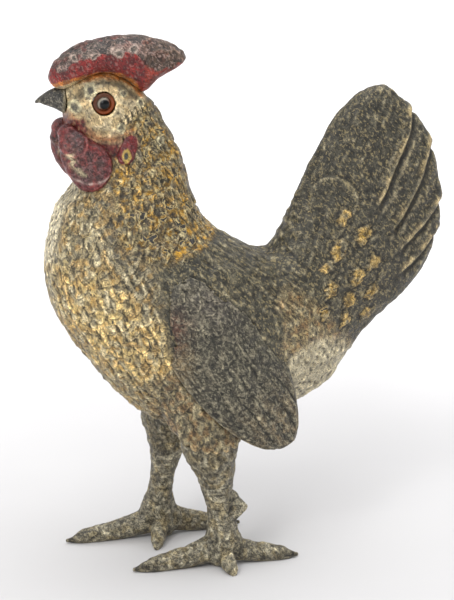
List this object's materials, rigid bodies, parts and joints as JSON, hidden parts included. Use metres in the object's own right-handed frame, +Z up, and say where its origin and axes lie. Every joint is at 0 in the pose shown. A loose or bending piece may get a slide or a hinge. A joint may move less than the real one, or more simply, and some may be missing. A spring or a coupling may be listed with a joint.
{
  "type": "wind up tin toy",
  "caption": "Clockwork walking cockerel: hollow painted body in two shells, swinging cast legs, raised tail, folded wings and a winding key on its side.",
  "frame": {"origin": "on the ground, in the plane of symmetry, under the middle of the overall length", "axes": "+Z up, beak towards -X, the left side of the bird towards -Y"},
  "size_m": [0.1151, 0.0534, 0.149],
  "materials": {
    "shell_paint": "worn hand-painted enamel over metal, speckled and chipped",
    "comb_paint": "worn crimson paint over dark metal",
    "beak_paint": "dark matt paint",
    "eye_enamel": "glossy black enamel",
    "wattle_paint": "worn crimson paint",
    "wing_paint": "worn dark olive and grey paint",
    "leg_metal": "rough cast metal with worn stone-coloured paint",
    "plate_steel": "satin",
    "arbor_steel": "polished",
    "spring_steel": "blued",
    "wheel_brass": "satin",
    "key_steel": "satin"
  },
  "bodies": {
    "body": {"left_shell": "shell_paint", "right_shell": "shell_paint", "comb": "comb_paint", "beak": "beak_paint", "left_eye": "eye_enamel", "right_eye": "eye_enamel", "left_wattle": "wattle_paint", "right_wattle": "wattle_paint", "left_ear_lobe": "wattle_paint", "right_ear_lobe": "wattle_paint", "left_wing": "wing_paint", "right_wing": "wing_paint", "left_plate": "plate_steel", "right_plate": "plate_steel", "plate_pillars": "wheel_brass", "pillar_screws": "arbor_steel", "left_mount_posts": "wheel_brass", "right_mount_posts": "wheel_brass", "hip_shaft": "arbor_steel", "hip_washers": "wheel_brass", "spring_post": "arbor_steel", "mainspring": "spring_steel"},
    "winding": {"winding_arbor": "arbor_steel", "ratchet_wheel": "arbor_steel", "winding_key": "key_steel"},
    "drive": {"great_wheel": "wheel_brass", "click_post": "arbor_steel", "click_spring": "spring_steel"},
    "click_pawl": {"click": "arbor_steel"},
    "second": {"second_arbor": "arbor_steel", "second_wheel": "wheel_brass"},
    "crank": {"crank_arbor": "arbor_steel", "crank_wheel": "wheel_brass", "left_crank": "arbor_steel", "right_crank": "arbor_steel"},
    "third": {"third_arbor": "arbor_steel", "third_wheel": "wheel_brass"},
    "fly": {"fly_arbor": "arbor_steel", "fly_fan": "wheel_brass"},
    "left_leg": {"left_leg": "leg_metal"},
    "right_leg": {"right_leg": "leg_metal"}
  },
  "joints": [
    {"name": "key_wind", "type": "hinge", "parent": "body", "child": "winding", "pos_m": [0.01598, 0, 0.06624], "axis": [0, 1, 0], "range_deg": [0, 1710], "deforming": ["mainspring"]},
    {"name": "drive_turn", "type": "hinge", "parent": "body", "child": "drive", "pos_m": [0.01598, 0, 0.06624], "axis": [0, 1, 0], "continuous": true},
    {"name": "click_lift", "type": "hinge", "parent": "drive", "child": "click_pawl", "pos_m": [0.01995, 0, 0.07476], "axis": [0, 1, 0], "range_deg": [0, 12]},
    {"name": "second_turn", "type": "hinge", "parent": "body", "child": "second", "pos_m": [-0.00141, 0, 0.07089], "axis": [0, 1, 0], "continuous": true},
    {"name": "crank_turn", "type": "hinge", "parent": "body", "child": "crank", "pos_m": [-0.013, 0, 0.074], "axis": [0, 1, 0], "continuous": true},
    {"name": "third_turn", "type": "hinge", "parent": "body", "child": "third", "pos_m": [-0.0196, 0, 0.08342], "axis": [0, 1, 0], "continuous": true},
    {"name": "fly_turn", "type": "hinge", "parent": "body", "child": "fly", "pos_m": [-0.02233, 0, 0.09094], "axis": [0, 1, 0], "continuous": true},
    {"name": "left_leg_swing", "type": "hinge", "parent": "body", "child": "left_leg", "pos_m": [-0.013, 0, 0.06], "axis": [0, 1, 0], "range_deg": [0, 13.95]},
    {"name": "right_leg_swing", "type": "hinge", "parent": "body", "child": "right_leg", "pos_m": [-0.013, 0, 0.06], "axis": [0, 1, 0], "range_deg": [-13.95, 0]}
  ],
  "couplings": [
    {"joint": "second_turn", "follows": "drive_turn", "ratio": -4},
    {"joint": "crank_turn", "follows": "drive_turn", "ratio": 12},
    {"joint": "third_turn", "follows": "drive_turn", "ratio": -43.2},
    {"joint": "fly_turn", "follows": "drive_turn", "ratio": 129.6},
    {"joint": "right_leg_swing", "follows": "left_leg_swing", "ratio": -1}
  ]
}
